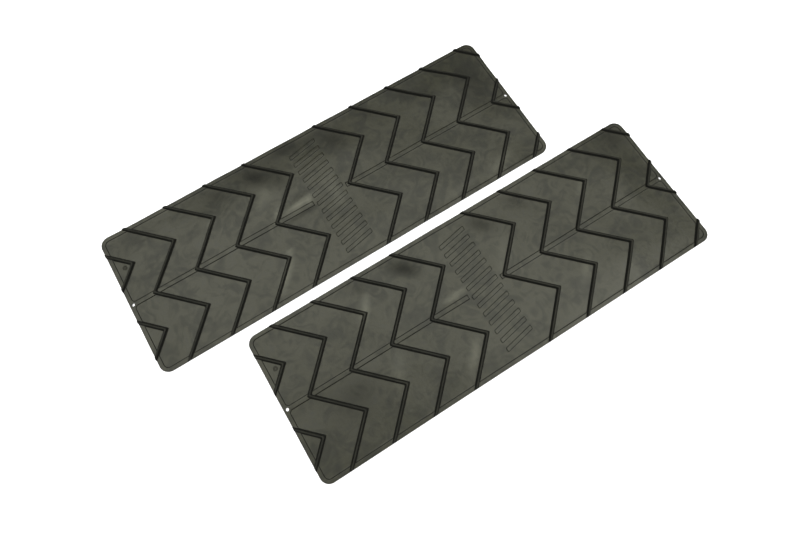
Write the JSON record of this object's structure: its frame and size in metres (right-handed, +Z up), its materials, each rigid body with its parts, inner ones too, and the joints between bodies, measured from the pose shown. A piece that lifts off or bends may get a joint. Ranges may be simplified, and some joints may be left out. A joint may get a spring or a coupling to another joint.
{
  "type": "tyre traction mats",
  "caption": "Loose moulded rubber sheets with raised border, spine and zigzag tread ribs, laid under the driven wheels of a vehicle to give grip on snow, mud or wet grass.",
  "frame": {"origin": "on the ground, under the middle of the pair's bounding box", "axes": "+X runs along the mats the way the chevrons point, +Y points to the left mat, +Z is up"},
  "size_m": [0.991, 0.6, 0.0075],
  "materials": {
    "moulded_rubber": "matt black moulded rubber with a grey-olive bloom"
  },
  "bodies": {
    "left_mat": {"left_mat": "moulded_rubber"},
    "right_mat": {"right_mat": "moulded_rubber"}
  },
  "joints": [
    {"name": "spread_mats", "type": "slide", "parent": "left_mat", "child": "right_mat", "axis": [0, -1, 0], "range_m": [0, 1.2]}
  ]
}
